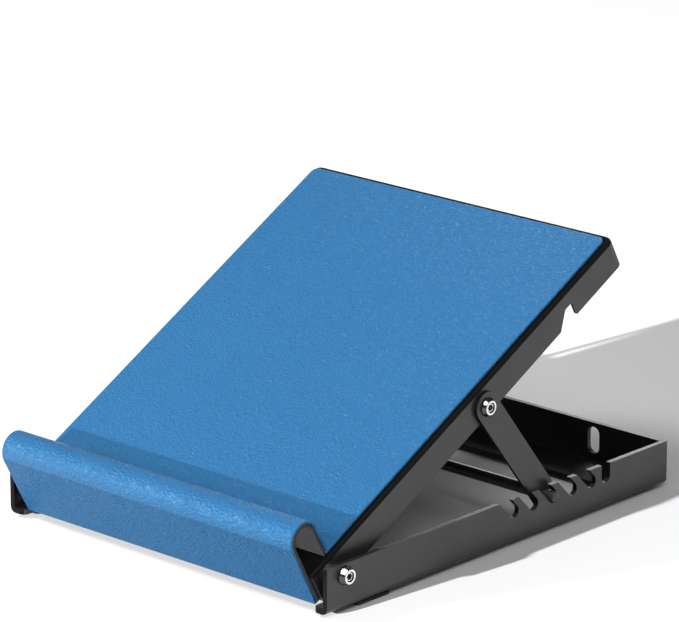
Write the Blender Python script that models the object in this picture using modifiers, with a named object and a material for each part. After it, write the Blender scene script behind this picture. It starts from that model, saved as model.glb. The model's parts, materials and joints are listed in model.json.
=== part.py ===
"""Folding slant board for calf stretching.

A steel base with notched side rails carries a tilting deck. Two struts hang from the deck and end on a
lock bar, which stands in one of the rails' notches. The heel stop at the deck's low end is a bent sheet.

Axes: +X across the board, +Y from the heel stop to the high end, +Z up. Units are metres.
The origin is on the floor, at the middle of the whole board's footprint.
The board stands in its middle notch.
"""

import math

import bmesh
import bpy
from mathutils import Matrix, Vector

GAP = 0.0003  # clearance between pieces that touch

# Base: two angle-section rails and an angle-section rear panel, on four rubber feet.
BASE_LENGTH = 0.430
BASE_WIDTH = 0.364
RAIL_HEIGHT = 0.039
BASE_SHEET = 0.0045
BASE_BEND = 0.0055
RAIL_LEDGE = 0.016
RAIL_LEDGE_CORNER = 0.006
REAR_LEDGE = 0.049
EDGE_ROUND = 0.0006
PAD_HEIGHT = 0.003
PAD_LENGTH = 0.039
PAD_WIDTH = 0.008
PAD_INSET = 0.003
PAD_CORNER = 0.002
FRONT_PAD_Y = 0.059
REAR_PAD_X = 0.135
REAR_PAD_Y = 0.404
REAR_SLOT_X = 0.104
REAR_SLOT_Z = 0.0228
REAR_SLOT_WIDTH = 0.013
REAR_SLOT_HEIGHT = 0.0242

# Hinge between base and deck, measured from the rails' front ends and undersides.
HINGE_Y = 0.0212
HINGE_Z = 0.029

# Notches in the rails. Seats are measured from the hinge axis.
SLANTED_NOTCHES = 5
NOTCH_PITCH = 0.0251
MIDDLE_SEAT_Y = 0.2570
SEAT_Z = -0.0009
NOTCH_RADIUS = 0.0057
NOTCH_SLANT = math.radians(45)
LAST_SEAT_Y = 0.3261
LAST_NOTCH_RADIUS = 0.0056

# Deck: an upturned tray of thin sheet. L runs up the deck from the hinge, N is normal to it.
DECK_WIDTH = 0.3394
DECK_SHEET = 0.002
DECK_TOP_N = 0.0148
DECK_FLANGE = 0.0283
DECK_FRONT_L = -0.0209
DECK_REAR_L = 0.401
DECK_BEND = 0.0033
DECK_CORNER = 0.008
PIVOT_L = 0.205
PIVOT_N = -0.0035
FOLDED_BAR_N = -0.0055

# Soft covers on deck and heel stop.
COVER = 0.0030
COVER_HALF_WIDTH = 0.1657
COVER_REAR_MARGIN = 0.006
COVER_CORNER = 0.006

# Heel stop: a bent sheet like an upturned U, square to the deck.
HEEL_SHEET = 0.002
HEEL_FRONT_L = -0.0212
HEEL_BACK_L = 0.0009
HEEL_CENTRE_N = 0.043
HEEL_BOTTOM_N = -0.0135
HEEL_HALF_WIDTH = 0.1652

# Struts and the lock bar.
STRUT_LENGTH = 0.121
STRUT_RADIUS = 0.013
STRUT_SHEET = 0.003
STRUT_INNER_X = 0.170
LOCK_BAR_RADIUS = 0.005

# Fasteners.
SHANK_RADIUS = 0.004
HOLE_RADIUS = 0.0043
HEAD_RADIUS = 0.0081
HEAD_FACE_RADIUS = 0.0070
HINGE_HEAD_HEIGHT = 0.0055
SOCKET_RADIUS = 0.0029
SOCKET_DEPTH = 0.0022
WASHER_RADIUS = 0.008
WASHER_SHEET = 0.0014
NUT_ACROSS_FLATS = 0.013
NUT_HEIGHT = 0.0065
THREAD_PAST_NUT = 0.0012
BUSH_RADIUS = 0.0065
ROUND_STEPS = 28

OUTER_X = BASE_WIDTH / 2
RAIL_INNER_X = OUTER_X - BASE_SHEET
DECK_OUTER_X = DECK_WIDTH / 2
DECK_INNER_X = DECK_OUTER_X - DECK_SHEET
CUT_PAST = 0.005
FULL_CUT = BASE_WIDTH + 4 * CUT_PAST

# The deck's angle closes the triangle of hinge, strut pivot and middle notch.
PIVOT_REACH = math.hypot(PIVOT_L, PIVOT_N)
SEAT_REACH = math.hypot(MIDDLE_SEAT_Y, SEAT_Z)
TRIANGLE_ANGLE = math.acos(
    (PIVOT_REACH**2 + SEAT_REACH**2 - STRUT_LENGTH**2) / (2 * PIVOT_REACH * SEAT_REACH)
)
DECK_ANGLE = TRIANGLE_ANGLE + math.atan2(SEAT_Z, MIDDLE_SEAT_Y) - math.atan2(PIVOT_N, PIVOT_L)

# Where the lock bar nests in the deck's side flanges when the board is folded.
FOLDED_BAR_L = PIVOT_L + math.sqrt(STRUT_LENGTH**2 - (FOLDED_BAR_N - PIVOT_N) ** 2)

# Heel stop radii, and the frontmost point of its cover, which sets the origin.
HEEL_INNER_RADIUS = (HEEL_BACK_L - HEEL_FRONT_L) / 2
HEEL_CENTRE_L = (HEEL_BACK_L + HEEL_FRONT_L) / 2
HEEL_OUTER_RADIUS = HEEL_INNER_RADIUS + HEEL_SHEET
COVER_INNER_RADIUS = HEEL_OUTER_RADIUS + GAP
COVER_OUTER_RADIUS = HEEL_OUTER_RADIUS + COVER
FRONTMOST_Y = (
    HINGE_Y
    + HEEL_CENTRE_L * math.cos(DECK_ANGLE)
    - HEEL_CENTRE_N * math.sin(DECK_ANGLE)
    - COVER_OUTER_RADIUS
)
RAIL_FRONT_Y = -(BASE_LENGTH + FRONTMOST_Y) / 2
RAIL_BOTTOM_Z = PAD_HEIGHT


def clear_scene():
    for old in list(bpy.data.objects):
        bpy.data.objects.remove(old, do_unlink=True)
    for old in list(bpy.data.collections):
        bpy.data.collections.remove(old)


def make_collection(name, hidden=False):
    collection = bpy.data.collections.new(name)
    collection.hide_render = hidden
    bpy.context.scene.collection.children.link(collection)
    return collection


def make_material(name, colour, metallic, roughness):
    material = bpy.data.materials.new(name)
    material.use_nodes = True
    shader = material.node_tree.nodes["Principled BSDF"]
    shader.inputs["Base Color"].default_value = (*colour, 1)
    shader.inputs["Metallic"].default_value = metallic
    shader.inputs["Roughness"].default_value = roughness
    material.diffuse_color = (*colour, 1)
    return material


def arc(centre, radius, start, end, steps):
    """Points on a circle from the angle start to the angle end, in degrees, both included."""
    points = []
    for step in range(steps + 1):
        angle = math.radians(start + (end - start) * step / steps)
        points.append((centre[0] + radius * math.cos(angle), centre[1] + radius * math.sin(angle)))
    return points


def rounded_box_outline(low, high, radius, steps=6):
    left, bottom = low[0] + radius, low[1] + radius
    right, top = high[0] - radius, high[1] - radius
    return (
        arc((right, bottom), radius, -90, 0, steps)
        + arc((right, top), radius, 0, 90, steps)
        + arc((left, top), radius, 90, 180, steps)
        + arc((left, bottom), radius, 180, 270, steps)
    )


def without_repeats(points):
    kept = []
    for point in points:
        if not kept or math.dist(point, kept[-1]) > 1e-6:
            kept.append(point)
    if math.dist(kept[0], kept[-1]) < 1e-6:
        kept.pop()
    return kept


def add_mesh(name, mesh, collection, parent=None, material=None):
    made = bpy.data.objects.new(name, mesh)
    collection.objects.link(made)
    made.parent = parent
    if material:
        mesh.materials.append(material)
    return made


def plate_mesh(name, outline, thickness, rotation=(0, 0, 0), place=(0, 0, 0)):
    """A flat outline, filled and extruded both ways by half the thickness, then turned and placed."""
    curve = bpy.data.curves.new(name, "CURVE")
    curve.dimensions = "2D"
    curve.fill_mode = "BOTH"
    curve.extrude = thickness / 2
    outline = without_repeats(outline)
    spline = curve.splines.new("POLY")
    spline.points.add(len(outline) - 1)
    for point, (x, y) in zip(spline.points, outline):
        point.co = (x, y, 0, 1)
    spline.use_cyclic_u = True
    guide = bpy.data.objects.new(name + "_outline", curve)
    bpy.context.scene.collection.objects.link(guide)
    graph = bpy.context.evaluated_depsgraph_get()
    mesh = bpy.data.meshes.new_from_object(guide.evaluated_get(graph))
    bpy.data.objects.remove(guide, do_unlink=True)
    bpy.data.curves.remove(curve)
    work = bmesh.new()
    work.from_mesh(mesh)
    bmesh.ops.remove_doubles(work, verts=work.verts, dist=1e-6)
    bmesh.ops.recalc_face_normals(work, faces=work.faces)
    work.to_mesh(mesh)
    work.free()
    turn = Matrix.Rotation(rotation[2], 4, "Z") @ Matrix.Rotation(rotation[0], 4, "X")
    mesh.transform(Matrix.Translation(Vector(place)) @ turn)
    mesh.name = name
    return mesh


def side_plate(name, outline, thickness, x=0.0):
    """A plate whose outline is drawn in Y and Z, standing across X."""
    return plate_mesh(name, outline, thickness, (math.pi / 2, 0, math.pi / 2), (x, 0, 0))


def cross_plate(name, outline, thickness, y=0.0):
    """A plate whose outline is drawn in X and Z, standing across Y."""
    return plate_mesh(name, outline, thickness, (math.pi / 2, 0, 0), (0, y, 0))


def turned(name, profile, collection, parent, material):
    """A solid of revolution about its own Z. The profile runs from the top to the bottom at +X."""
    mesh = bpy.data.meshes.new(name)
    work = bmesh.new()
    points = [work.verts.new((radius, 0, height)) for radius, height in profile]
    for above, below in zip(points, points[1:]):
        work.edges.new((above, below))
    if profile[0][0] > 0:
        work.edges.new((points[-1], points[0]))
    work.to_mesh(mesh)
    work.free()
    made = add_mesh(name, mesh, collection, parent, material)
    screw = made.modifiers.new("turn", "SCREW")
    screw.steps = ROUND_STEPS
    screw.render_steps = ROUND_STEPS
    screw.use_merge_vertices = True
    screw.merge_threshold = 1e-5
    screw.use_normal_calculate = True
    return made


def cut(target, cutter):
    modifier = target.modifiers.new("cut " + cutter.name, "BOOLEAN")
    modifier.operation = "DIFFERENCE"
    modifier.object = cutter
    modifier.solver = "EXACT"


def round_edges(target, width=EDGE_ROUND, segments=2):
    modifier = target.modifiers.new("round", "BEVEL")
    modifier.width = width
    modifier.segments = segments
    modifier.limit_method = "ANGLE"
    modifier.angle_limit = math.radians(50)


def as_cutter(name, mesh, collection, parent=None):
    made = add_mesh(name, mesh, collection, parent)
    made.hide_render = True
    made.display_type = "WIRE"
    return made


def cylinder_mesh(name, radius, length, segments=ROUND_STEPS):
    """A cylinder along X, centred on its own origin."""
    mesh = bpy.data.meshes.new(name)
    work = bmesh.new()
    bmesh.ops.create_cone(
        work, cap_ends=True, segments=segments, radius1=radius, radius2=radius, depth=length
    )
    work.to_mesh(mesh)
    work.free()
    mesh.transform(Matrix.Rotation(math.pi / 2, 4, "Y"))
    return mesh


def smooth(made):
    made.data.shade_smooth()
    made.data.set_sharp_from_angle(angle=math.radians(35))


def angle_outline(width, height, sheet, bend):
    """An angle section standing at the origin: its ledge runs towards +first axis, its wall goes up."""
    inner = bend - sheet
    return (
        [(sheet, height), (0, height)]
        + arc((bend, bend), bend, 180, 270, 5)
        + [(width, 0), (width, sheet)]
        + arc((bend, bend), inner, 270, 180, 5)
    )


def notch_outline(seat_y, seat_z, radius, slant, top):
    """A round-ended slot that opens upwards past top; slant leans it forwards from upright."""
    run = (top - seat_z) / math.cos(slant)
    mouth = (seat_y - run * math.sin(slant), top)
    side = (radius * math.cos(slant), radius * math.sin(slant))
    lean = math.degrees(slant)
    return (
        arc((seat_y, seat_z), radius, 180 + lean, 360 + lean, 14)
        + [(mouth[0] + side[0], mouth[1] + side[1]), (mouth[0] - side[0], mouth[1] - side[1])]
    )


def bolt(name, parent, side, x_head, head_height, tip_x, parts, cutters, material):
    """A button-head bolt along X with a hex socket. side is +1 on the right and -1 on the left."""
    length = x_head - tip_x
    profile = [
        (0, head_height),
        (HEAD_FACE_RADIUS - EDGE_ROUND, head_height),
        (HEAD_FACE_RADIUS, head_height - EDGE_ROUND),
        (HEAD_RADIUS, EDGE_ROUND),
        (HEAD_RADIUS, 0),
        (SHANK_RADIUS, 0),
        (SHANK_RADIUS, -length + EDGE_ROUND),
        (SHANK_RADIUS - EDGE_ROUND, -length),
        (0, -length),
    ]
    made = turned(name, profile, parts, parent, material)
    made.rotation_euler = (0, side * math.pi / 2, 0)
    made.location = (side * x_head, 0, 0)
    socket = bpy.data.meshes.new(name + "_socket")
    work = bmesh.new()
    bmesh.ops.create_cone(
        work, cap_ends=True, segments=6, radius1=SOCKET_RADIUS, radius2=SOCKET_RADIUS, depth=2 * SOCKET_DEPTH
    )
    work.to_mesh(socket)
    work.free()
    socket.transform(Matrix.Translation((0, 0, head_height)))
    cutter = as_cutter(name + "_socket", socket, cutters, parent)
    cutter.rotation_euler = made.rotation_euler
    cutter.location = made.location
    cut(made, cutter)
    smooth(made)
    return made


def ring(name, parent, side, x_low, x_high, radius, parts, material):
    """A washer or bush along X, with the bolts' hole through it."""
    half = (x_high - x_low) / 2
    profile = [
        (HOLE_RADIUS, half),
        (radius - EDGE_ROUND / 2, half),
        (radius, half - EDGE_ROUND / 2),
        (radius, -half + EDGE_ROUND / 2),
        (radius - EDGE_ROUND / 2, -half),
        (HOLE_RADIUS, -half),
    ]
    made = turned(name, profile, parts, parent, material)
    made.rotation_euler = (0, side * math.pi / 2, 0)
    made.location = (side * (x_low + x_high) / 2, 0, 0)
    smooth(made)
    return made


def lock_nut(name, parent, side, x_low, x_high, parts, bore, material):
    mesh = cylinder_mesh(name, NUT_ACROSS_FLATS / 2 / math.cos(math.pi / 6), x_high - x_low, 6)
    made = add_mesh(name, mesh, parts, parent, material)
    made.location = (side * (x_low + x_high) / 2, 0, 0)
    cut(made, bore)
    return made


def build_base(parts, cutters, paint, rubber, chrome, zinc):
    base = bpy.data.objects.new("base_frame", None)
    base.location = (0, RAIL_FRONT_Y, RAIL_BOTTOM_Z)
    parts.objects.link(base)

    hinge = bpy.data.objects.new("deck_hinge", None)
    hinge.location = (0, RAIL_FRONT_Y + HINGE_Y, RAIL_BOTTOM_Z + HINGE_Z)
    hinge.rotation_euler = (DECK_ANGLE, 0, 0)
    parts.objects.link(hinge)

    hinge_fixed = bpy.data.objects.new("hinge_fixed", None)
    hinge_fixed.location = hinge.location
    parts.objects.link(hinge_fixed)

    notch_cutters = []
    over_rail = RAIL_HEIGHT - HINGE_Z + CUT_PAST
    for number in range(SLANTED_NOTCHES):
        seat = MIDDLE_SEAT_Y + (number - 2) * NOTCH_PITCH
        outline = notch_outline(seat, SEAT_Z, NOTCH_RADIUS, NOTCH_SLANT, over_rail)
        mesh = side_plate(f"notch_{number + 1}", outline, FULL_CUT)
        notch_cutters.append(as_cutter(mesh.name, mesh, cutters, hinge_fixed))
    outline = notch_outline(LAST_SEAT_Y, SEAT_Z, LAST_NOTCH_RADIUS, 0, over_rail)
    mesh = side_plate("notch_6", outline, FULL_CUT)
    notch_cutters.append(as_cutter(mesh.name, mesh, cutters, hinge_fixed))
    hinge_bore = as_cutter(
        "hinge_bore", cylinder_mesh("hinge_bore", HOLE_RADIUS, FULL_CUT), cutters, hinge_fixed
    )

    ledge_x = OUTER_X - RAIL_LEDGE
    corner_x = ledge_x + RAIL_LEDGE_CORNER
    outline = (
        arc((corner_x, RAIL_LEDGE_CORNER), RAIL_LEDGE_CORNER, 180, 270, 6)
        + [(corner_x, -CUT_PAST), (-corner_x, -CUT_PAST)]
        + arc((-corner_x, RAIL_LEDGE_CORNER), RAIL_LEDGE_CORNER, 270, 360, 6)
        + [(-ledge_x + CUT_PAST, 2 * RAIL_LEDGE_CORNER), (ledge_x - CUT_PAST, 2 * RAIL_LEDGE_CORNER)]
    )
    mesh = plate_mesh("ledge_corners", outline, 4 * BASE_SHEET)
    ledge_corners = as_cutter("ledge_corners", mesh, cutters, base)

    rear_front_y = BASE_LENGTH - REAR_LEDGE
    outline = rounded_box_outline(
        (-RAIL_INNER_X - GAP / 2, rear_front_y - GAP), (RAIL_INNER_X + GAP / 2, BASE_LENGTH + CUT_PAST), GAP
    )
    mesh = plate_mesh("rear_ledge_room", outline, 4 * BASE_SHEET)
    rear_ledge_room = as_cutter("rear_ledge_room", mesh, cutters, base)

    for side, side_name in ((1, "right"), (-1, "left")):
        section = [
            (side * (OUTER_X - across), up)
            for across, up in angle_outline(RAIL_LEDGE, RAIL_HEIGHT, BASE_SHEET, BASE_BEND)
        ]
        mesh = cross_plate("base_rail_" + side_name, section, BASE_LENGTH, BASE_LENGTH / 2)
        rail = add_mesh(mesh.name, mesh, parts, base, paint)
        for cutter in [*notch_cutters, hinge_bore, ledge_corners, rear_ledge_room]:
            cut(rail, cutter)
        round_edges(rail)
        smooth(rail)

        foot_x = OUTER_X - PAD_INSET - PAD_WIDTH / 2
        outline = rounded_box_outline(
            (foot_x - PAD_WIDTH / 2, FRONT_PAD_Y - PAD_LENGTH / 2),
            (foot_x + PAD_WIDTH / 2, FRONT_PAD_Y + PAD_LENGTH / 2),
            PAD_CORNER,
        )
        add_foot("foot_front_" + side_name, outline, side, parts, base, rubber)
        outline = rounded_box_outline(
            (REAR_PAD_X - PAD_LENGTH / 2, REAR_PAD_Y - PAD_WIDTH / 2),
            (REAR_PAD_X + PAD_LENGTH / 2, REAR_PAD_Y + PAD_WIDTH / 2),
            PAD_CORNER,
        )
        add_foot("foot_rear_" + side_name, outline, side, parts, base, rubber)

    section = [
        (BASE_LENGTH - across, up)
        for across, up in angle_outline(REAR_LEDGE, RAIL_HEIGHT, BASE_SHEET, BASE_BEND)
    ]
    mesh = side_plate("base_rear_panel", section, 2 * (RAIL_INNER_X - GAP))
    panel = add_mesh(mesh.name, mesh, parts, base, paint)
    for side, side_name in ((1, "right"), (-1, "left")):
        outline = rounded_box_outline(
            (side * REAR_SLOT_X - REAR_SLOT_WIDTH / 2, REAR_SLOT_Z - REAR_SLOT_HEIGHT / 2),
            (side * REAR_SLOT_X + REAR_SLOT_WIDTH / 2, REAR_SLOT_Z + REAR_SLOT_HEIGHT / 2),
            REAR_SLOT_WIDTH / 2 - GAP,
            8,
        )
        mesh = cross_plate("rear_slot_" + side_name, outline, 4 * BASE_SHEET, BASE_LENGTH)
        cut(panel, as_cutter(mesh.name, mesh, cutters, base))
    round_edges(panel)
    smooth(panel)

    washer_high = DECK_INNER_X - GAP
    washer_low = washer_high - WASHER_SHEET
    nut_high = washer_low - GAP
    nut_low = nut_high - NUT_HEIGHT
    tip = nut_low - THREAD_PAST_NUT
    for side, side_name in ((1, "right"), (-1, "left")):
        bolt(
            "hinge_bolt_" + side_name, hinge_fixed, side, OUTER_X + GAP, HINGE_HEAD_HEIGHT, tip,
            parts, cutters, chrome,
        )
        ring(
            "hinge_bush_" + side_name, hinge_fixed, side, DECK_OUTER_X + GAP, RAIL_INNER_X - GAP,
            BUSH_RADIUS, parts, zinc,
        )
        ring(
            "hinge_washer_" + side_name, hinge_fixed, side, washer_low, washer_high,
            WASHER_RADIUS, parts, zinc,
        )
        lock_nut("hinge_nut_" + side_name, hinge_fixed, side, nut_low, nut_high, parts, hinge_bore, zinc)
    return hinge, hinge_bore, (washer_low, washer_high, nut_low, nut_high, tip)


def add_foot(name, outline, side, parts, base, rubber):
    outline = [(side * x, y) for x, y in outline]
    height = PAD_HEIGHT - GAP
    mesh = plate_mesh(name, outline, height, place=(0, 0, height / 2 - PAD_HEIGHT))
    foot = add_mesh(name, mesh, parts, base, rubber)
    round_edges(foot)
    smooth(foot)


def deck_tray_mesh():
    """The deck's outer skin: a box with no bottom, its folds rounded."""
    mesh = bpy.data.meshes.new("deck_plate")
    work = bmesh.new()
    bmesh.ops.create_cube(work, size=1)
    length = DECK_REAR_L - DECK_FRONT_L
    size = Matrix.Diagonal((DECK_WIDTH, length, DECK_FLANGE, 1))
    centre = Vector((0, (DECK_REAR_L + DECK_FRONT_L) / 2, DECK_TOP_N - DECK_FLANGE / 2))
    bmesh.ops.transform(work, matrix=Matrix.Translation(centre) @ size, verts=work.verts)
    open_faces = [face for face in work.faces if face.normal.z < -0.9]
    bmesh.ops.delete(work, geom=open_faces, context="FACES")
    rear_corners = [
        edge for edge in work.edges
        if abs(edge.verts[0].co.z - edge.verts[1].co.z) > DECK_FLANGE / 2
        and edge.verts[0].co.y > centre.y
    ]
    bmesh.ops.bevel(
        work, geom=rear_corners, offset=DECK_CORNER, segments=6, profile=0.5, affect="EDGES"
    )
    top_edges = [
        edge for edge in work.edges
        if min(vert.co.z for vert in edge.verts) > DECK_TOP_N - 1e-5 and len(edge.link_faces) == 2
    ]
    bmesh.ops.bevel(
        work, geom=top_edges, offset=DECK_BEND, segments=4, profile=0.5, affect="EDGES"
    )
    work.to_mesh(mesh)
    work.free()
    return mesh


def build_deck(parts, cutters, hinge, hinge_bore, stack, paint, cover, chrome, zinc):
    deck = add_mesh("deck_plate", deck_tray_mesh(), parts, hinge, paint)
    shell = deck.modifiers.new("sheet", "SOLIDIFY")
    shell.thickness = DECK_SHEET
    shell.offset = -1
    shell.use_even_offset = True

    pivot = bpy.data.objects.new("strut_pivot", None)
    pivot.parent = hinge
    pivot.location = (0, PIVOT_L, PIVOT_N)
    parts.objects.link(pivot)

    pivot_bore = as_cutter(
        "pivot_bore", cylinder_mesh("pivot_bore", HOLE_RADIUS, FULL_CUT), cutters, pivot
    )
    flange_low = DECK_TOP_N - DECK_FLANGE
    bar_room = LOCK_BAR_RADIUS + 0.0009
    notch_top = FOLDED_BAR_N + LOCK_BAR_RADIUS + 0.0008
    rear_l = FOLDED_BAR_L + bar_room
    mouth_drop = notch_top - flange_low
    outline = (
        arc((rear_l - 0.002, notch_top - 0.002), 0.002, 0, 90, 4)
        + arc((FOLDED_BAR_L - bar_room + 0.0035, notch_top - 0.002), 0.002, 90, 135, 2)
        + [
            (FOLDED_BAR_L - bar_room + 0.0021 - mouth_drop, flange_low - 0.0012),
            (FOLDED_BAR_L - bar_room + 0.0021 - mouth_drop, flange_low - CUT_PAST),
            (rear_l + 0.003, flange_low - CUT_PAST),
            (rear_l + 0.003, flange_low - 0.0002),
        ]
        + arc((rear_l + 0.003, flange_low + 0.0028), 0.003, 270, 180, 5)
    )
    flange_notch = as_cutter(
        "flange_notch", side_plate("flange_notch", outline, FULL_CUT), cutters, hinge
    )
    for cutter in (flange_notch, hinge_bore, pivot_bore):
        cut(deck, cutter)
    smooth(deck)

    cover_rear = DECK_REAR_L - COVER_REAR_MARGIN
    cover_front = HEEL_BACK_L + HEEL_SHEET + GAP
    outline = (
        [(-COVER_HALF_WIDTH, cover_front), (COVER_HALF_WIDTH, cover_front)]
        + arc((COVER_HALF_WIDTH - COVER_CORNER, cover_rear - COVER_CORNER), COVER_CORNER, 0, 90, 6)
        + arc((-COVER_HALF_WIDTH + COVER_CORNER, cover_rear - COVER_CORNER), COVER_CORNER, 90, 180, 6)
    )
    thickness = COVER - GAP
    mesh = plate_mesh("deck_cover", outline, thickness, place=(0, 0, DECK_TOP_N + GAP + thickness / 2))
    add_mesh("deck_cover", mesh, parts, hinge, cover)

    centre = (HEEL_CENTRE_L, HEEL_CENTRE_N)
    outline = (
        [(HEEL_FRONT_L, HEEL_BOTTOM_N)]
        + arc(centre, HEEL_INNER_RADIUS, 180, 0, 16)
        + [(HEEL_BACK_L, DECK_TOP_N + GAP), (HEEL_BACK_L + HEEL_SHEET, DECK_TOP_N + GAP)]
        + arc(centre, HEEL_OUTER_RADIUS, 0, 180, 16)
        + [(HEEL_FRONT_L - HEEL_SHEET, HEEL_BOTTOM_N)]
    )
    mesh = side_plate("heel_stop", outline, 2 * HEEL_HALF_WIDTH)
    heel = add_mesh("heel_stop", mesh, parts, hinge, paint)
    smooth(heel)

    cover_foot = DECK_TOP_N + COVER + GAP
    outline = (
        [(HEEL_CENTRE_L - COVER_INNER_RADIUS, HEEL_BOTTOM_N)]
        + arc(centre, COVER_INNER_RADIUS, 180, 0, 16)
        + [(HEEL_CENTRE_L + COVER_INNER_RADIUS, cover_foot), (HEEL_CENTRE_L + COVER_OUTER_RADIUS, cover_foot)]
        + arc(centre, COVER_OUTER_RADIUS, 0, 180, 16)
        + [(HEEL_CENTRE_L - COVER_OUTER_RADIUS, HEEL_BOTTOM_N)]
    )
    mesh = side_plate("heel_cover", outline, 2 * COVER_HALF_WIDTH)
    heel_cover = add_mesh("heel_cover", mesh, parts, hinge, cover)
    smooth(heel_cover)

    washer_low, washer_high, nut_low, nut_high, tip = stack
    head_low = STRUT_INNER_X + STRUT_SHEET + GAP
    head_height = RAIL_INNER_X - GAP - head_low
    for side, side_name in ((1, "right"), (-1, "left")):
        bolt(
            "strut_bolt_" + side_name, pivot, side, head_low, head_height, tip, parts, cutters, chrome
        )
        ring(
            "strut_washer_" + side_name, pivot, side, washer_low, washer_high,
            WASHER_RADIUS, parts, zinc,
        )
        lock_nut("strut_nut_" + side_name, pivot, side, nut_low, nut_high, parts, pivot_bore, zinc)
    return pivot, pivot_bore


def build_struts(parts, cutters, pivot, pivot_bore, paint, steel):
    """The struts hang from the pivot; their own +Y runs from the pivot to the lock bar between them."""
    pivot_y = PIVOT_REACH * math.cos(DECK_ANGLE + math.atan2(PIVOT_N, PIVOT_L))
    pivot_z = PIVOT_REACH * math.sin(DECK_ANGLE + math.atan2(PIVOT_N, PIVOT_L))
    world_angle = math.atan2(SEAT_Z - pivot_z, MIDDLE_SEAT_Y - pivot_y)
    swing = bpy.data.objects.new("strut_swing", None)
    swing.parent = pivot
    swing.rotation_euler = (world_angle - DECK_ANGLE, 0, 0)
    parts.objects.link(swing)

    outline = arc((STRUT_LENGTH, 0), STRUT_RADIUS, -90, 90, 14) + arc((0, 0), STRUT_RADIUS, 90, 270, 14)
    for side, side_name in ((1, "right"), (-1, "left")):
        x = side * (STRUT_INNER_X + STRUT_SHEET / 2)
        mesh = side_plate("strut_" + side_name, outline, STRUT_SHEET, x)
        strut = add_mesh(mesh.name, mesh, parts, swing, paint)
        cut(strut, pivot_bore)
        round_edges(strut)
        smooth(strut)

    # The bar ends at the struts: the ends that stand in the notches are left out, as the linkage's open pivot.
    bar_mesh = cylinder_mesh("lock_bar", LOCK_BAR_RADIUS, 2 * (STRUT_INNER_X - GAP))
    bar = add_mesh("lock_bar", bar_mesh, parts, swing, steel)
    bar.location = (0, STRUT_LENGTH, 0)
    round_edges(bar)
    smooth(bar)


def main():
    clear_scene()
    parts = make_collection("slant_board")
    cutters = make_collection("cutters", hidden=True)
    paint = make_material("black_powder_coat", (0.012, 0.012, 0.013), 0.0, 0.42)
    cover = make_material("blue_cover", (0.055, 0.21, 0.46), 0.0, 0.6)
    rubber = make_material("black_rubber", (0.01, 0.01, 0.01), 0.0, 0.8)
    chrome = make_material("chrome", (0.8, 0.8, 0.82), 1.0, 0.12)
    zinc = make_material("zinc_plate", (0.6, 0.6, 0.62), 1.0, 0.35)
    steel = make_material("black_steel_bar", (0.03, 0.03, 0.032), 0.6, 0.3)
    hinge, hinge_bore, stack = build_base(parts, cutters, paint, rubber, chrome, zinc)
    pivot, pivot_bore = build_deck(
        parts, cutters, hinge, hinge_bore, stack, paint, cover, chrome, zinc
    )
    build_struts(parts, cutters, pivot, pivot_bore, paint, steel)


main()
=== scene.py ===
"""The looks of the folding slant board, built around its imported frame."""

import json
import math

import bmesh
import bpy
from mathutils import Matrix, Vector


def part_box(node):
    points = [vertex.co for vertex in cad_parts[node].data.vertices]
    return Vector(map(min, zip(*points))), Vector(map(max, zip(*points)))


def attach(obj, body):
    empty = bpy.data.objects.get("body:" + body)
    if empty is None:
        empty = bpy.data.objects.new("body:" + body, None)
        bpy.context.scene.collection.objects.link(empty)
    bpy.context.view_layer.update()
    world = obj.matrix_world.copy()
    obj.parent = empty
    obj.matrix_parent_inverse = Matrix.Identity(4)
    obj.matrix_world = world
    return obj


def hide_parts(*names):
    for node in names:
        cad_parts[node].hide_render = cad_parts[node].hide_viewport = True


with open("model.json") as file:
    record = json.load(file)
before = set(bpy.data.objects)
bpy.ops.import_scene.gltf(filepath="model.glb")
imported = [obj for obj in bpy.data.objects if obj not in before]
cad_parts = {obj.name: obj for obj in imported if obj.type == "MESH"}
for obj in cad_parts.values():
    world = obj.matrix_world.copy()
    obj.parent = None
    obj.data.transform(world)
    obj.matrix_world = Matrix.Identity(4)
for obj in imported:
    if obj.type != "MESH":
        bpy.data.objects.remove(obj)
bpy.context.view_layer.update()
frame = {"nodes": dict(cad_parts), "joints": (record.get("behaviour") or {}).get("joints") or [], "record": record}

SIDES = (("right", 1), ("left", -1))

# The camera looks at TARGET from the front right.
CAMERA_AZIMUTH = math.radians(42.58)
CAMERA_ELEVATION = math.radians(17.19)
CAMERA_DISTANCE = 3.755
CAMERA_LENS = 236.6
TARGET = Vector((0, 0.0097, 0.170))

# The deck's own axes: L runs up the deck from the hinge, N is normal to it.
PIVOT_L = 0.205
PIVOT_N = -0.0035
joints = {joint["name"]: joint for joint in frame["joints"]}
HINGE = Vector(joints["deck_tilt"]["pos_m"])
PIVOT = Vector(joints["strut_swing"]["pos_m"])
DECK_ANGLE = math.atan2(PIVOT.z - HINGE.z, PIVOT.y - HINGE.y) - math.atan2(PIVOT_N, PIVOT_L)
DECK_AXES = Matrix.Translation(HINGE) @ Matrix.Rotation(DECK_ANGLE, 4, "X")


def on_deck(points):
    """The lowest and highest corners of some points, seen along the deck's own axes."""
    back = DECK_AXES.inverted()
    turned = [back @ point for point in points]
    low = Vector(map(min, zip(*turned)))
    high = Vector(map(max, zip(*turned)))
    return low, high


def deck_box(node):
    return on_deck([vertex.co for vertex in frame["nodes"][node].data.vertices])


# Materials

# The sockets of a Mix node by its data type: first value, second value and result.
MIX_SOCKETS = {"VECTOR": (4, 5, 1), "RGBA": (6, 7, 2)}

# The lock bar's paint is whole up to the first distance from the board's middle, and rubbed past the second.
BAR_PAINTED_TO = 0.174
BAR_RUBBED_FROM = 0.179


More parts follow.
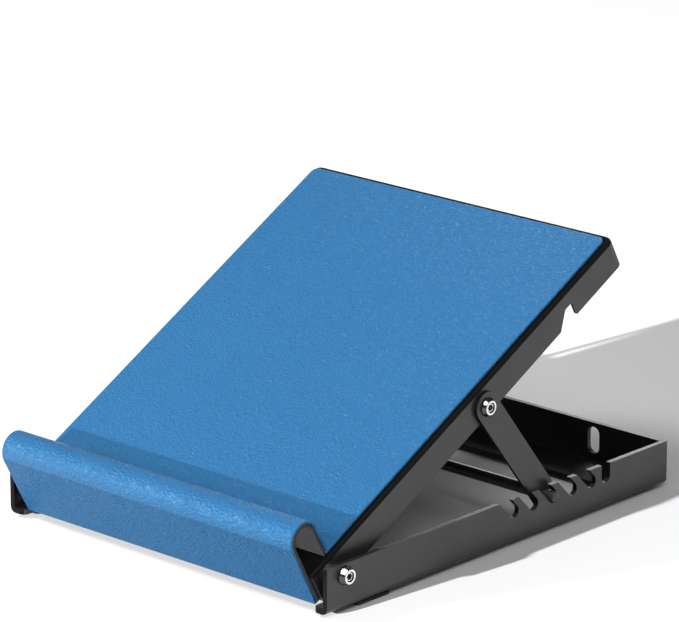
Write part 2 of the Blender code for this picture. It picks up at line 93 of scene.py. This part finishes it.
class Shader:
    """A Principled material with short ways to add nodes."""

    def __init__(self, name, colour, roughness, metallic=0.0):
        self.material = bpy.data.materials.new(name)
        self.material.use_nodes = True
        self.tree = self.material.node_tree
        self.surface = self.tree.nodes["Principled BSDF"]
        self.set("Base Color", (*colour, 1))
        self.set("Roughness", roughness)
        self.set("Metallic", metallic)

    def feed(self, socket, value):
        """Links another node's output to the socket, or sets a plain value on it."""
        if isinstance(value, bpy.types.NodeSocket):
            self.tree.links.new(value, socket)
        else:
            socket.default_value = value

    def set(self, socket_name, value):
        self.feed(self.surface.inputs[socket_name], value)

    def node(self, kind, settings=None, **inputs):
        made = self.tree.nodes.new(kind)
        for key, value in (settings or {}).items():
            setattr(made, key, value)
        for key, value in inputs.items():
            self.feed(made.inputs[key.replace("_", " ")], value)
        return made

    def place(self):
        """Coordinates in metres, fixed to the piece."""
        return self.node("ShaderNodeTexCoord").outputs["Object"]

    def noise(self, scale, detail=2.0, roughness=0.5, vector=None):
        place = vector or self.place()
        made = self.node("ShaderNodeTexNoise", Vector=place, Scale=scale, Detail=detail, Roughness=roughness)
        return made.outputs["Fac"]

    def ramp(self, value, low, high, low_to, high_to):
        """Maps the range low to high onto low_to to high_to, and holds the ends beyond it."""
        limits = {"From_Min": low, "From_Max": high, "To_Min": low_to, "To_Max": high_to}
        return self.node("ShaderNodeMapRange", Value=value, **limits).outputs["Result"]

    def mix(self, amount, first, second, kind="RGBA"):
        made = self.node("ShaderNodeMix", {"data_type": kind})
        first_socket, second_socket, result = MIX_SOCKETS[kind]
        for index, value in ((0, amount), (first_socket, first), (second_socket, second)):
            self.feed(made.inputs[index], value)
        return made.outputs[result]

    def maths(self, operation, first, second):
        made = self.node("ShaderNodeMath", {"operation": operation})
        for socket, value in zip(made.inputs, (first, second)):
            self.feed(socket, value)
        return made.outputs[0]

    def stretched(self, scale, place):
        """Coordinates multiplied by a scale of their own along each axis."""
        return self.node("ShaderNodeMapping", Vector=place, Scale=scale).outputs["Vector"]

    def bump(self, height, strength, distance):
        made = self.node("ShaderNodeBump", Height=height, Strength=strength, Distance=distance)
        self.set("Normal", made.outputs["Normal"])


def powder_coat():
    """Satin black powder coat with a fine orange-peel texture."""
    shader = Shader("black_powder_coat", (0.025, 0.025, 0.026), 0.36)
    shader.set("Specular IOR Level", 0.62)
    place = shader.place()
    cloud = shader.noise(22, 3, 0.6, place)
    shader.set("Roughness", shader.ramp(cloud, 0.3, 0.7, 0.33, 0.42))
    worn = shader.ramp(shader.noise(140, 4, 0.6, place), 0.45, 0.75, 0.0, 1.0)
    colour = shader.mix(worn, (0.024, 0.024, 0.025, 1), (0.029, 0.029, 0.029, 1))
    shader.set("Base Color", colour)
    shader.bump(shader.noise(2600, 2, 0.5, place), 0.22, 0.0002)
    return shader.material


def painted_edge_shade():
    """Painted shade: a duller, near-black coat on cut edges, folds and inner faces, in place of the shade and dark
    reflections there.
    """
    shader = Shader("painted_shade_on_edges", (0.006, 0.006, 0.006), 0.6)
    shader.set("Specular IOR Level", 0.12)
    place = shader.place()
    dust = shader.ramp(shader.noise(90, 4, 0.6, place), 0.5, 0.8, 0.0, 0.5)
    colour = shader.mix(dust, (0.005, 0.005, 0.005, 1), (0.011, 0.011, 0.011, 1))
    shader.set("Base Color", colour)
    shader.bump(shader.noise(2600, 2, 0.5, place), 0.2, 0.0002)
    return shader.material


def blue_cover(name, gloss):
    """Blue foam rubber with a fine wavy grain that is shallower in patches, and painted shade in the grain's
    hollows.
    """
    shader = Shader(name, (0.035, 0.20, 0.45), 0.36)
    shader.set("Specular IOR Level", gloss)
    shader.set("Specular Tint", (0.3, 0.62, 1.0, 1))
    place = shader.place()
    warp = shader.node("ShaderNodeTexNoise", Vector=place, Scale=160.0, Detail=2.0).outputs["Color"]
    bent = shader.stretched((0.5, 1.0, 1.0), shader.mix(0.007, place, warp, "VECTOR"))
    soft_cells = {"feature": "SMOOTH_F1"}
    cells = shader.node("ShaderNodeTexVoronoi", soft_cells, Vector=bent, Scale=560.0, Smoothness=0.5)
    patches = shader.noise(70, 3, 0.55, place)
    depth = shader.ramp(patches, 0.36, 0.64, 0.65, 1.0)
    grain = shader.maths("MULTIPLY", cells.outputs["Distance"], depth)
    fine = shader.noise(1500, 2, 0.5, place)
    height = shader.maths("ADD", grain, shader.maths("MULTIPLY", fine, 0.15))
    tone = shader.noise(9, 2, 0.5, place)
    base = shader.mix(tone, (0.037, 0.192, 0.430, 1), (0.040, 0.204, 0.456, 1))
    # Painted shade: the grain's hollows are darker.
    grain_hollow_shade = shader.ramp(grain, 0.25, 0.8, 0.0, 0.25)
    colour = shader.mix(grain_hollow_shade, base, (0.020, 0.130, 0.32, 1))
    shader.set("Base Color", colour)
    shader.set("Roughness", shader.ramp(grain, 0.0, 0.6, 0.22, 0.38))
    shader.bump(height, 1.0, 0.0010)
    return shader.material


def black_rubber():
    shader = Shader("black_rubber", (0.012, 0.012, 0.012), 0.75)
    place = shader.place()
    dust = shader.ramp(shader.noise(60, 4, 0.6, place), 0.45, 0.75, 0.0, 0.35)
    colour = shader.mix(dust, (0.012, 0.012, 0.012, 1), (0.03, 0.03, 0.029, 1))
    shader.set("Base Color", colour)
    shader.bump(shader.noise(1800, 2, 0.5, place), 0.3, 0.0003)
    return shader.material


def chrome():
    """Polished chrome with faint turning marks and a little haze."""
    shader = Shader("chrome", (0.88, 0.88, 0.9), 0.08, 1.0)
    place = shader.place()
    haze = shader.ramp(shader.noise(150, 3, 0.6, place), 0.35, 0.7, 0.06, 0.15)
    shader.set("Roughness", haze)
    marks = shader.noise(1, 1, 0.5, shader.stretched((4000.0, 60.0, 60.0), place))
    shader.bump(marks, 0.04, 0.0001)
    return shader.material


def shaded_chrome():
    """Painted shade on the bolts' sides and the walls of their sockets: darker chrome than on the face, in place
    of the shade and dark reflections there.
    """
    shader = Shader("chrome_with_painted_shade", (0.15, 0.15, 0.155), 0.12, 1.0)
    place = shader.place()
    # Random mottle within the painted shade.
    shade_mottle = shader.noise(300, 3, 0.6, place)
    colour = shader.mix(shade_mottle, (0.06, 0.06, 0.062, 1), (0.11, 0.11, 0.112, 1))
    shader.set("Base Color", colour)
    shader.set("Roughness", shader.ramp(shade_mottle, 0.35, 0.7, 0.09, 0.2))
    return shader.material


def zinc_plate():
    shader = Shader("zinc_plate", (0.56, 0.57, 0.58), 0.34, 1.0)
    place = shader.place()
    stain = shader.ramp(shader.noise(220, 4, 0.6, place), 0.4, 0.7, 0.26, 0.46)
    shader.set("Roughness", stain)
    colour = shader.mix(shader.noise(90, 3, 0.5, place), (0.5, 0.5, 0.5, 1), (0.62, 0.63, 0.65, 1))
    shader.set("Base Color", colour)
    return shader.material


def nylon():
    """The blue-grey collar of a lock nut."""
    shader = Shader("nylon_collar", (0.10, 0.13, 0.2), 0.45)
    shader.set("Subsurface Weight", 0.1)
    shader.bump(shader.noise(900, 2, 0.5), 0.15, 0.0002)
    return shader.material


def black_bar():
    """The lock bar's black paint, rubbed paler over the ends that stand in the notches."""
    shader = Shader("black_bar", (0.012, 0.012, 0.013), 0.28)
    place = shader.place()
    across = shader.node("ShaderNodeSeparateXYZ", Vector=place).outputs["X"]
    end = shader.ramp(shader.maths("ABSOLUTE", across, 0.0), BAR_PAINTED_TO, BAR_RUBBED_FROM, 0.0, 1.0)
    rubbed = shader.ramp(shader.noise(700, 3, 0.6, place), 0.35, 0.6, 0.3, 1.0)
    amount = shader.maths("MULTIPLY", end, rubbed)
    colour = shader.mix(amount, (0.012, 0.012, 0.013, 1), (0.055, 0.055, 0.055, 1))
    shader.set("Base Color", colour)
    drawn = shader.noise(1, 2, 0.5, shader.stretched((8.0, 900.0, 900.0), place))
    shader.bump(drawn, 0.08, 0.0002)
    return shader.material


POWDER = powder_coat()
# Painted shade for cut edges, folds and inner faces.
EDGES = painted_edge_shade()
COVER = blue_cover("blue_cover", 0.5)
MATT_COVER = blue_cover("blue_cover_matt", 0.06)
RUBBER = black_rubber()
CHROME = chrome()
# Painted shade for the bolts' sides and sockets.
SHADED_CHROME = shaded_chrome()
ZINC = zinc_plate()
NYLON = nylon()
BAR = black_bar()
BY_SLOT = {"paint": POWDER, "cover": COVER, "rubber": RUBBER, "chrome": CHROME, "zinc": ZINC, "bar": BAR}


def paint(obj, *materials):
    obj.data.materials.clear()
    for material in materials:
        obj.data.materials.append(material)


def smooth(obj, angle=35):
    obj.data.shade_smooth()
    obj.data.set_sharp_from_angle(angle=math.radians(angle))


def second_material(obj, material, wanted):
    """Gives another material to the faces for which wanted(normal, centre) holds."""
    obj.data.materials.append(material)
    for face in obj.data.polygons:
        if wanted(face.normal, face.center):
            face.material_index = 1


# The masks below pick the faces that take the painted edge shade.
def on_rail_edge(normal, centre):
    """The rails' cut edges and folds, but not their sides, tops and undersides."""
    return abs(normal.x) < 0.7 and -0.95 < normal.z < 0.5


def inside_rear_panel(normal, centre):
    """The rear panel's inner face, and what faces up near the floor."""
    return normal.y < -0.5 or (normal.z > 0.5 and centre.z < 0.02)


def on_deck_fold(normal, centre):
    """The deck's top and folds, and the lower rims of its flanges."""
    up = normal.dot(DECK_AXES.col[2].xyz)
    on_fold = 0.1 < abs(normal.x) < 0.85
    on_rim = up < -0.9 and (DECK_AXES.inverted() @ centre).z < -0.012
    return up > 0.15 or on_fold or on_rim


def on_strut_rim(normal, centre):
    return abs(normal.x) < 0.7


def on_heel_end(normal, centre):
    return abs(normal.x) > 0.7


def on_heel_front(normal, centre):
    """The flat front leg of the heel cover, which is matter than the roll."""
    return normal.dot(DECK_AXES.col[1].xyz) < -0.985


def carried_over_nodes():
    """The CAD nodes that stay in sight get their material, and shading that follows their folds."""
    slots = {part["node"]: part["material_slot"] for part in frame["record"]["subparts"]}
    for name, node in frame["nodes"].items():
        paint(node, BY_SLOT[slots[name]])
        smooth(node)
    # Cut edges, folds and inner faces get the painted edge shade as a second material.
    for name, _ in SIDES:
        second_material(frame["nodes"]["base_rail_" + name], EDGES, on_rail_edge)
        second_material(frame["nodes"]["strut_" + name], EDGES, on_strut_rim)
    second_material(frame["nodes"]["base_rear_panel"], EDGES, inside_rear_panel)
    second_material(frame["nodes"]["deck_plate"], EDGES, on_deck_fold)
    second_material(frame["nodes"]["heel_stop"], EDGES, on_heel_end)


# Pieces

# How far a cutter reaches past what it cuts.
CUT_PAST = 0.002


def new_piece(name, mesh, material, body, slot, *stands_for):
    """A piece that rides on a body and may stand for CAD nodes."""
    piece = bpy.data.objects.new(name, mesh)
    bpy.context.scene.collection.objects.link(piece)
    paint(piece, material)
    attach(piece, body)
    if stands_for:
        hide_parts(*stands_for)
    return piece


def arc(centre, radius, start, end, steps):
    """Points on a circle from the angle start to the angle end, in degrees, both included."""
    points = []
    for step in range(steps + 1):
        angle = math.radians(start + (end - start) * step / steps)
        points.append((centre[0] + radius * math.cos(angle), centre[1] + radius * math.sin(angle)))
    return points


def extruded(outline, low, high, rounding, to_frame, segments=4):
    """A flat outline as a closed slab between low and high along its own Z, with its rims rounded."""
    work = bmesh.new()
    ring = [work.verts.new((x, y, low)) for x, y in outline]
    face = work.faces.new(ring)
    lifted = bmesh.ops.extrude_face_region(work, geom=[face])
    moved = [item for item in lifted["geom"] if isinstance(item, bmesh.types.BMVert)]
    bmesh.ops.translate(work, verts=moved, vec=(0, 0, high - low))
    bmesh.ops.recalc_face_normals(work, faces=work.faces)
    rims = [edge for edge in work.edges if abs(edge.verts[0].co.z - edge.verts[1].co.z) < 1e-6]
    bmesh.ops.bevel(
        work, geom=rims, offset=rounding, segments=segments, profile=0.5, affect="EDGES", clamp_overlap=True,
    )
    bmesh.ops.transform(work, matrix=to_frame, verts=work.verts)
    mesh = bpy.data.meshes.new("slab")
    work.to_mesh(mesh)
    work.free()
    return mesh


def deck_pad():
    """The blue sheet on the deck, with its rim softened and its two far corners rounded."""
    low, high = deck_box("deck_cover")
    corner = 0.006
    front = 0.0008
    outline = (
        arc((high.x - front, low.y + front), front, -90, 0, 4)
        + arc((high.x - corner, high.y - corner), corner, 0, 90, 12)
        + arc((low.x + corner, high.y - corner), corner, 90, 180, 12)
        + arc((low.x + front, low.y + front), front, 180, 270, 4)
    )
    mesh = extruded(outline, low.z, high.z, rounding=0.0011, to_frame=DECK_AXES)
    piece = new_piece("deck_pad", mesh, COVER, "deck", "cover", "deck_cover")
    smooth(piece, angle=50)


HEEL_COVER_SHEET = 0.0027
HEEL_TO_DECK_PAD = 0.0003


def heel_pad():
    """The blue sheet bent over the heel stop, with the rims of its two ends rounded."""
    low, high = deck_box("heel_cover")
    outer = (high.y - low.y) / 2
    inner = outer - HEEL_COVER_SHEET
    centre = ((high.y + low.y) / 2, high.z - outer)
    back_foot = deck_box("deck_cover")[1].z + HEEL_TO_DECK_PAD
    outline = (
        [(centre[0] - inner, low.z)]
        + arc(centre, inner, 180, 0, 40)
        + [(centre[0] + inner, back_foot), (centre[0] + outer, back_foot)]
        + arc(centre, outer, 0, 180, 48)
        + [(centre[0] - outer, low.z)]
    )
    # The outline is drawn in L and N, and the slab runs across the board.
    across = Matrix(((0, 0, 1, 0), (1, 0, 0, 0), (0, 1, 0, 0), (0, 0, 0, 1)))
    mesh = extruded(outline, low.x, high.x, rounding=0.0010, to_frame=DECK_AXES @ across)
    piece = new_piece("heel_pad", mesh, COVER, "deck", "cover", "heel_cover")
    second_material(piece, MATT_COVER, on_heel_front)
    smooth(piece, angle=50)


def turned(profile, steps=64):
    """A solid of revolution about Z from (radius, height) pairs that run from the top to the bottom."""
    work = bmesh.new()
    points = [work.verts.new((radius, 0, height)) for radius, height in profile]
    edges = [work.edges.new(pair) for pair in zip(points, points[1:])]
    if profile[0][0] > 0:
        edges.append(work.edges.new((points[-1], points[0])))
    bmesh.ops.spin(
        work, geom=points + edges, cent=(0, 0, 0), axis=(0, 0, 1), angle=2 * math.pi, steps=steps,
        use_merge=True,
    )
    bmesh.ops.remove_doubles(work, verts=work.verts, dist=1e-6)
    bmesh.ops.recalc_face_normals(work, faces=work.faces)
    return work


def hexagon_prism(radius, low, high):
    work = bmesh.new()
    bmesh.ops.create_cone(work, cap_ends=True, segments=6, radius1=radius, radius2=radius, depth=high - low)
    bmesh.ops.translate(work, verts=work.verts, vec=(0, 0, (high + low) / 2))
    return work


def to_mesh(work, matrix):
    bmesh.ops.transform(work, matrix=matrix, verts=work.verts)
    mesh = bpy.data.meshes.new("turned")
    work.to_mesh(mesh)
    work.free()
    return mesh


def applied_cut(obj, cutter_mesh):
    """Cuts the mesh away from obj and leaves no modifier behind."""
    cutter = bpy.data.objects.new("cutter", cutter_mesh)
    bpy.context.scene.collection.objects.link(cutter)
    modifier = obj.modifiers.new("cut", "BOOLEAN")
    modifier.operation = "DIFFERENCE"
    modifier.solver = "EXACT"
    modifier.object = cutter
    graph = bpy.context.evaluated_depsgraph_get()
    made = bpy.data.meshes.new_from_object(obj.evaluated_get(graph))
    obj.modifiers.clear()
    obj.data = made
    bpy.data.objects.remove(cutter, do_unlink=True)
    bpy.data.meshes.remove(cutter_mesh)


def side_axes(side, x, centre):
    """Own Z points outwards across the board, and the origin lies at x on the bolt's line."""
    turn = Matrix.Rotation(side * math.pi / 2, 4, "Y")
    return Matrix.Translation((side * x, centre.y, centre.z)) @ turn


# The bolts. The head's height goes by the body that the bolt rides on: hinge bolts on the base, strut
# bolts on the deck. The last two values say where the painted shade of the darker chrome begins.
HEAD_HEIGHTS = {"base": 0.0055, "deck": 0.0039}
SHANK_RADIUS = 0.004
SHANK_CHAMFER = 0.0006
FACE_RADIUS = 0.0066
FACE_ROUNDING = 0.0008
SINK_RADIUS = 0.0045
SINK_FLOOR_RADIUS = 0.0034
SINK_DEPTH = 0.0012
SOCKET_CORNERS = 0.0031
SOCKET_DEPTH = 0.0034
FACE_BAND = 0.0009
DARK_FROM_AXIS = 0.0032


def bolt_profile(radius, head, length):
    """A bolt as (radius, height) pairs, from the middle of its face to its tip; it is seated at 0."""
    sink_floor = head - SINK_DEPTH
    countersink = [
        (0.0, sink_floor),
        (SINK_FLOOR_RADIUS, sink_floor),
        (SINK_RADIUS - 0.0002, head - 0.0001),
        (SINK_RADIUS, head),
    ]
    face = arc((FACE_RADIUS - FACE_ROUNDING, head - FACE_ROUNDING), FACE_ROUNDING, 90, 30, 3)
    wall = [(radius - 0.0004, 0.0013), (radius, 0.0008), (radius, 0.0004), (radius - 0.0005, 0.0)]
    shank = [
        (SHANK_RADIUS, 0.0),
        (SHANK_RADIUS, SHANK_CHAMFER - length),
        (SHANK_RADIUS - SHANK_CHAMFER, -length),
        (0.0, -length),
    ]
    return countersink + face + wall + shank


def fine_bolt(node, side, centre, body):
    """A chrome button-head bolt: a tapered side, a flat ring of a face, and a countersunk hex socket."""
    low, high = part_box(node)
    tip, outer = sorted((abs(low.x), abs(high.x)))
    head = HEAD_HEIGHTS[body]
    seat = outer - head
    axes = side_axes(side, seat, centre)
    solid = turned(bolt_profile((high.z - low.z) / 2, head, seat - tip))
    piece = new_piece(node + "_fine", to_mesh(solid, axes), CHROME, body, "chrome", node)
    socket = hexagon_prism(SOCKET_CORNERS, head - SOCKET_DEPTH, head + CUT_PAST)
    applied_cut(piece, to_mesh(socket, axes))
    paint(piece, CHROME)

    def dark(normal, middle):
        """Painted shade: the bolt's sides and socket walls, and what lies below its face outside the socket."""
        deeper = abs(middle.x) < outer - FACE_BAND
        return abs(normal.x) < 0.95 or (deeper and (middle - centre).yz.length > DARK_FROM_AXIS)

    # The sides, socket walls and countersink get the painted shade of the darker chrome.
    second_material(piece, SHADED_CHROME, dark)
    smooth(piece, angle=30)
    return piece


NUT_BORE = 0.0042
DECK_NUT_FLATS = 0.0065
NUT_CHAMFER = 0.0006
COLLAR_HEIGHT = 0.0022
COLLAR_OVERLAP = 0.0001


def lock_nut(node, side, centre, body):
    """A hex nut with chamfered corners and a nylon collar on its inner end."""
    low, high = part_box(node)
    near, far = sorted((abs(low.x), abs(high.x)))
    flats = DECK_NUT_FLATS if body == "deck" else (high.z - low.z) / 2
    corners = flats / math.cos(math.pi / 6)
    height = far - near
    axes = side_axes(side, near, centre)
    nut = hexagon_prism(corners, COLLAR_HEIGHT, height)
    piece = new_piece(node + "_fine", to_mesh(nut, axes), ZINC, body, "zinc", node)
    round_end = flats + 0.0002
    chamfer = [
        (corners + CUT_PAST, height + CUT_PAST / 2),
        (round_end, height + CUT_PAST / 2),
        (round_end, height),
        (corners + 0.0002, height - NUT_CHAMFER),
        (corners + CUT_PAST, height - NUT_CHAMFER),
    ]
    hole = [(0.0, height + CUT_PAST), (NUT_BORE, height + CUT_PAST), (NUT_BORE, -CUT_PAST), (0.0, -CUT_PAST)]
    for profile, steps in ((chamfer, 48), (hole, 32)):
        applied_cut(piece, to_mesh(turned(profile, steps), axes))
    paint(piece, ZINC)
    smooth(piece, angle=30)
    collar_top = COLLAR_HEIGHT + COLLAR_OVERLAP
    collar = [
        (NUT_BORE, collar_top),
        (flats - 0.0001, collar_top),
        (flats - 0.0003, 0.0008),
        (flats - 0.0012, 0.0001),
        (NUT_BORE + 0.0010, 0.0),
        (NUT_BORE, 0.0003),
    ]
    ring = new_piece(node + "_collar", to_mesh(turned(collar, 48), axes), NYLON, body, "zinc")
    smooth(ring, angle=30)


BAR_PAST_RAIL = 0.003
BAR_CHAMFER = 0.0008


def lock_bar():
    """The whole lock bar, with the chamfered ends that stand in the rails' notches."""
    low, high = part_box("lock_bar")
    centre = (low + high) / 2
    radius = (high.z - low.z) / 2
    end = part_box("base_rail_right")[1].x + BAR_PAST_RAIL
    upper = [
        (0.0, end),
        (radius - BAR_CHAMFER, end),
        (radius - BAR_CHAMFER * 0.4, end - BAR_CHAMFER * 0.3),
        (radius, end - BAR_CHAMFER),
    ]
    profile = upper + [(distance, -height) for distance, height in reversed(upper)]
    axes = Matrix.Translation(centre) @ Matrix.Rotation(math.pi / 2, 4, "Y")
    piece = new_piece("lock_bar_whole", to_mesh(turned(profile), axes), BAR, "strut", "bar", "lock_bar")
    smooth(piece, angle=40)


def fasteners():
    bolts = []
    for name, side in SIDES:
        bolts.append(fine_bolt("hinge_bolt_" + name, side, HINGE, "base"))
        bolts.append(fine_bolt("strut_bolt_" + name, side, PIVOT, "deck"))
        lock_nut("hinge_nut_" + name, side, HINGE, "base")
        lock_nut("strut_nut_" + name, side, PIVOT, "deck")
    return bolts


# The studio

BOARD_MIDDLE = Vector((0, 0, 0.1))
LIGHT_DISTANCE = 2.5

# The ways along which more than one light shines.
FROM_LOW_FRONT = Vector((0.51, 5.13, -1.0)).normalized()
FROM_RIGHT = Vector((-0.54, 0.35, -0.77))


def place_light(data, direction, receivers):
    """The light shines along direction onto the board's middle, and reaches the receivers alone."""
    light = bpy.data.objects.new(data.name, data)
    light.rotation_mode = "QUATERNION"
    light.rotation_quaternion = direction.to_track_quat("-Z", "Y")
    light.location = BOARD_MIDDLE - direction
    bpy.context.scene.collection.objects.link(light)
    lit = bpy.data.collections.new(data.name + "_receivers")
    for receiver in receivers:
        lit.objects.link(receiver)
    light.light_linking.receiver_collection = lit


def sun(name, strength, direction, angle, receivers):
    data = bpy.data.lights.new(name, "SUN")
    data.energy = strength
    data.angle = math.radians(angle)
    place_light(data, direction, receivers)


def soft_light(name, watts, direction, size, receivers):
    data = bpy.data.lights.new(name, "AREA")
    data.energy = watts
    data.shape = "DISK"
    data.size = size
    place_light(data, LIGHT_DISTANCE * direction, receivers)


def floor():
    """A pale floor. Diffuse rays miss it, so it shows in the board's gloss but doesn't light it."""
    mesh = bpy.data.meshes.new("floor")
    work = bmesh.new()
    bmesh.ops.create_grid(work, x_segments=2, y_segments=2, size=15)
    work.to_mesh(mesh)
    work.free()
    made = bpy.data.objects.new("floor", mesh)
    bpy.context.scene.collection.objects.link(made)
    shader = Shader("pale_floor", (0.86, 0.86, 0.86), 0.9)
    shader.set("Specular IOR Level", 0.1)
    paint(made, shader.material)
    made.visible_diffuse = False
    return made


def studio(bolts):
    """A white studio with even light all round, and with lights for the board, floor, heel and bolts."""
    world = bpy.data.worlds.new("studio")
    world.use_nodes = True
    background = world.node_tree.nodes["Background"]
    background.inputs["Color"].default_value = (1, 1, 1, 1)
    background.inputs["Strength"].default_value = 0.20
    bpy.context.scene.world = world

    board = [obj for obj in bpy.context.scene.objects if obj.type == "MESH"]
    sun("front_light", 1.75, FROM_LOW_FRONT, 1.0, board)
    soft_light("left_light", 30, Vector((0.65, 0.66, -0.30)), 0.7, board)
    soft_light("right_light", 30, FROM_RIGHT, 1.2, board)
    soft_light("back_light", 26, Vector((0.30, -0.86, -0.43)), 1.6, board)

    ground = [floor()]
    sun("floor_light", 12.5, FROM_LOW_FRONT, 0.9, ground)
    soft_light("floor_left", 36, Vector((0.65, 0.41, -0.64)), 0.7, ground)
    soft_light("floor_right", 16, FROM_RIGHT, 1.4, ground)

    heel_stop = [frame["nodes"]["heel_stop"]]
    sun("heel_fill", 18.0, Vector((-0.72, 0.66, -0.2)), 14, heel_stop)
    soft_light("bolt_light", 640, Vector((0.05, 0.52, -0.82)), 3.9, bolts)


def camera():
    data = bpy.data.cameras.new("camera")
    data.lens = CAMERA_LENS
    data.sensor_width = 36
    data.clip_start = 0.1
    data.clip_end = 60
    made = bpy.data.objects.new("camera", data)
    back = Vector(
        (
            math.sin(CAMERA_AZIMUTH) * math.cos(CAMERA_ELEVATION),
            -math.cos(CAMERA_AZIMUTH) * math.cos(CAMERA_ELEVATION),
            math.sin(CAMERA_ELEVATION),
        )
    )
    made.location = TARGET + back * CAMERA_DISTANCE
    made.rotation_mode = "QUATERNION"
    made.rotation_quaternion = (-back).to_track_quat("-Z", "Y")
    bpy.context.scene.collection.objects.link(made)
    bpy.context.scene.camera = made


bpy.context.scene.view_settings.view_transform = "Standard"
camera()
carried_over_nodes()
deck_pad()
heel_pad()
lock_bar()
studio(fasteners())
